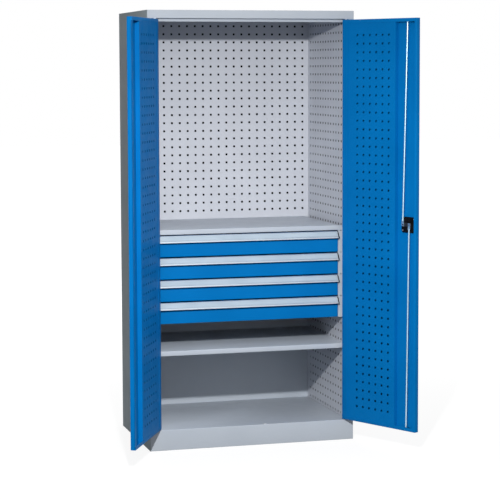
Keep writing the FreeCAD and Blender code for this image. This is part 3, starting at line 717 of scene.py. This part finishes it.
def rivetPlaces():
    low, high = shutBox("left_side_wall")[0], shutBox("right_side_wall")[1]
    side, foot, step = [rearRivet[size] * mm for size in ("side", "foot", "step")]
    levels = [low.z + foot + step * row for row in range(rearRivet["rows"])]
    return [(x, high.y, z) for x in (low.x + side, high.x - side) for z in levels]


setHeads("lock_case_screws", caseScrew, casePlaces(), "right_door")
setHeads("rod_guide_screws", guideScrew, guidePlaces(), "right_door")
setHeads("rear_rivets", rearRivet, rivetPlaces(), "cabinet")
print("screws and rivets set")


# every solid gets its finish, also where another piece stands for it

for nodeName, node in nodes.items():
    paint(node, finishOf(nodeName))
print("solids painted")


# floor, world, lamps and camera

studio = {"fill": (0.10, 0.62), "fillFrom": (0.25, -0.80, 0.55), "floorGlow": (0.88, 1.0),
          "reach": (1.0, 4.5), "floorColour": (0.14, 0.14, 0.14), "floorRough": 0.9, "floorSize": 60}
keyLamp = {"kind": "SPOT", "at": (-1.10, -3.87, 2.36), "aim": (0, -0.3, 0.1), "cone": 80, "size": 0.05,
           "watts": 640, "glint": True}
rearLamp = {"kind": "AREA", "at": (0.5, 6.0, 3.2), "aim": (0, 0, 0.9), "size": 2.5,
            "watts": 230, "glint": False}
photoCamera = {"at": (-2.1555, -7.8601, 1.7008), "turn": (84.889, 0.191, -15.843), "lens": 127.27,
               "sensor": 36, "shift": -0.05}


def addMath(tree, operation, first, second):
    node = tree.nodes.new("ShaderNodeMath")
    node.operation = operation
    tree.links.new(first, node.inputs[0])
    tree.links.new(second, node.inputs[1])
    return node.outputs[0]


def whiteRays(tree):
    # 1 for rays that should see the white background
    path = tree.nodes.new("ShaderNodeLightPath")
    rays = addMath(tree, "MAXIMUM", path.outputs["Is Camera Ray"], path.outputs["Is Glossy Ray"])
    return addMath(tree, "MAXIMUM", rays, path.outputs["Is Transmission Ray"])


def setFloor():
    bpy.ops.object.select_all(action="DESELECT")
    bpy.ops.mesh.primitive_plane_add(size=studio["floorSize"])
    floor = bpy.context.object
    floor.name = "studioFloor"
    material, tree, shader, place = startMaterial("paleFloor")
    shader.inputs["Base Color"].default_value = (*studio["floorColour"], 1)
    shader.inputs["Roughness"].default_value = studio["floorRough"]
    shader.inputs["Specular IOR Level"].default_value = 0
    # a little darker around the object, so that its shadow stays, and white further out
    away = tree.nodes.new("ShaderNodeVectorMath")
    away.operation = "LENGTH"
    tree.links.new(place.outputs["Object"], away.inputs[0])
    rise = addRange(tree, away.outputs["Value"], studio["reach"], studio["floorGlow"])
    rise.interpolation_type = "SMOOTHSTEP"
    glow = addMath(tree, "MULTIPLY", whiteRays(tree), rise.outputs["Result"])
    shader.inputs["Emission Color"].default_value = (1, 1, 1, 1)
    tree.links.new(glow, shader.inputs["Emission Strength"])
    paint(floor, material)


def setWorld():
    world = bpy.data.worlds.new("studioWorld")
    bpy.context.scene.world = world
    world.use_nodes = True
    tree = world.node_tree
    background = tree.nodes["Background"]
    background.inputs["Color"].default_value = (1, 1, 1, 1)
    # soft fill, strongest from the front and above
    place = tree.nodes.new("ShaderNodeTexCoord")
    facing = tree.nodes.new("ShaderNodeVectorMath")
    facing.operation = "DOT_PRODUCT"
    facing.inputs[1].default_value = studio["fillFrom"]
    tree.links.new(place.outputs["Generated"], facing.inputs[0])
    fill = addRange(tree, facing.outputs["Value"], (-1, 1), studio["fill"])
    level = addRange(tree, whiteRays(tree), (0, 1), (0, 1))
    tree.links.new(fill.outputs["Result"], level.inputs["To Min"])
    tree.links.new(level.outputs["Result"], background.inputs["Strength"])


def addLamp(name, look):
    data = bpy.data.lights.new(name, look["kind"])
    data.energy = look["watts"]
    if look["kind"] == "SPOT":
        data.spot_size = math.radians(look["cone"])
        data.spot_blend = 1
        data.shadow_soft_size = look["size"]
    else:
        data.size = look["size"]
    lamp = bpy.data.objects.new(name, data)
    lamp.location = look["at"]
    aim = Vector(look["aim"]) - Vector(look["at"])
    lamp.rotation_euler = aim.to_track_quat("-Z", "Y").to_euler()
    lamp.visible_glossy = look["glint"]
    bpy.context.scene.collection.objects.link(lamp)


def setCamera():
    data = bpy.data.cameras.new("photoCamera")
    data.sensor_width = photoCamera["sensor"]
    data.lens = photoCamera["lens"]
    data.shift_y = photoCamera["shift"]
    camera = bpy.data.objects.new("photoCamera", data)
    camera.location = photoCamera["at"]
    camera.rotation_euler = [math.radians(angle) for angle in photoCamera["turn"]]
    bpy.context.scene.collection.objects.link(camera)
    bpy.context.scene.camera = camera


setFloor()
setWorld()
addLamp("keyLamp", keyLamp)
addLamp("rearLamp", rearLamp)
setCamera()
bpy.context.scene.view_settings.view_transform = "Standard"
print("stage set")
